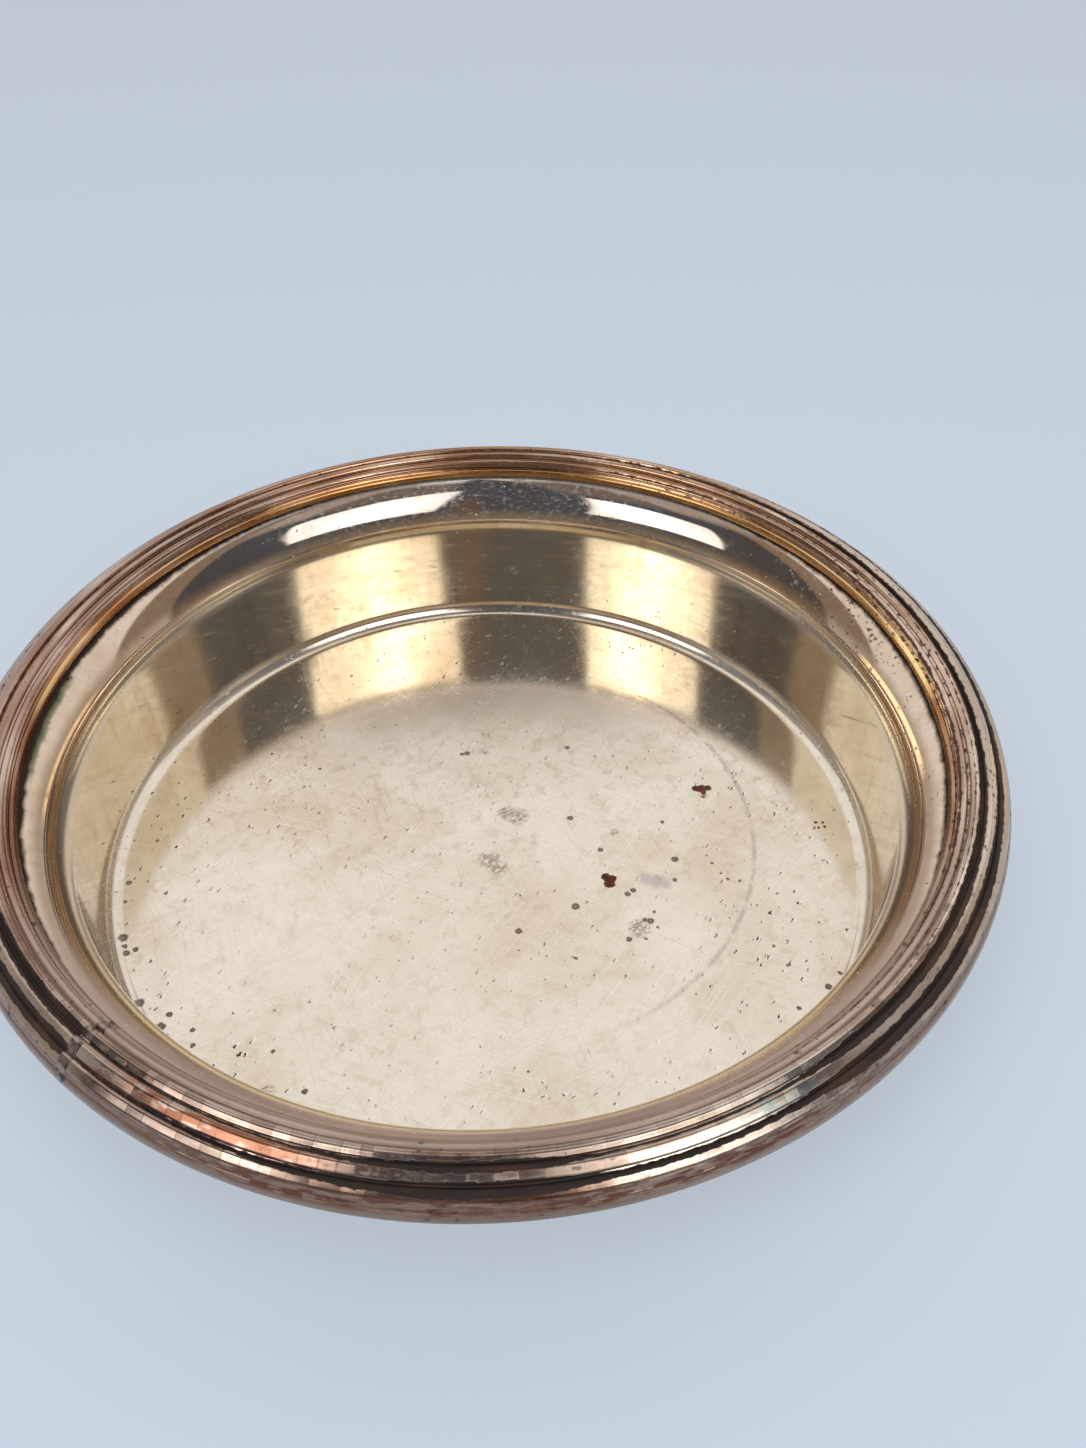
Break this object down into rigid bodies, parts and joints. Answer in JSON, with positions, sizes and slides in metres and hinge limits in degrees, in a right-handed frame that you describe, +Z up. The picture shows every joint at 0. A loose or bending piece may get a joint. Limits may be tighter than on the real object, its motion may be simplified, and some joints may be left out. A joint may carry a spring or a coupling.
{
  "type": "bottle coaster",
  "caption": "Round plated metal bottle coaster: a shallow spun dish with a steep wall, flared lip and applied reeded border, which holds a bottle and keeps drips off the table.",
  "frame": {"origin": "on the table under the middle of the dish, at the centre of its flat underside", "axes": "+Z up along the axis of the dish, out of its mouth; -Y towards the camera of the picture; +X to the right"},
  "size_m": [0.14, 0.14, 0.0284],
  "materials": {
    "worn_plate": "worn mirror polish, silver plate rubbed to a warm tone with fine scratches and pits",
    "dark_solder": "dull, blackened in the joint line",
    "tarnished_border": "polished reeds worn to a coppery mauve, near-black tarnish in the grooves",
    "seam_solder": "dull, filed over"
  },
  "bodies": {
    "root": {"dish": "worn_plate", "rim_solder": "dark_solder", "reeded_border": "tarnished_border", "border_joint": "seam_solder"}
  },
  "joints": []
}
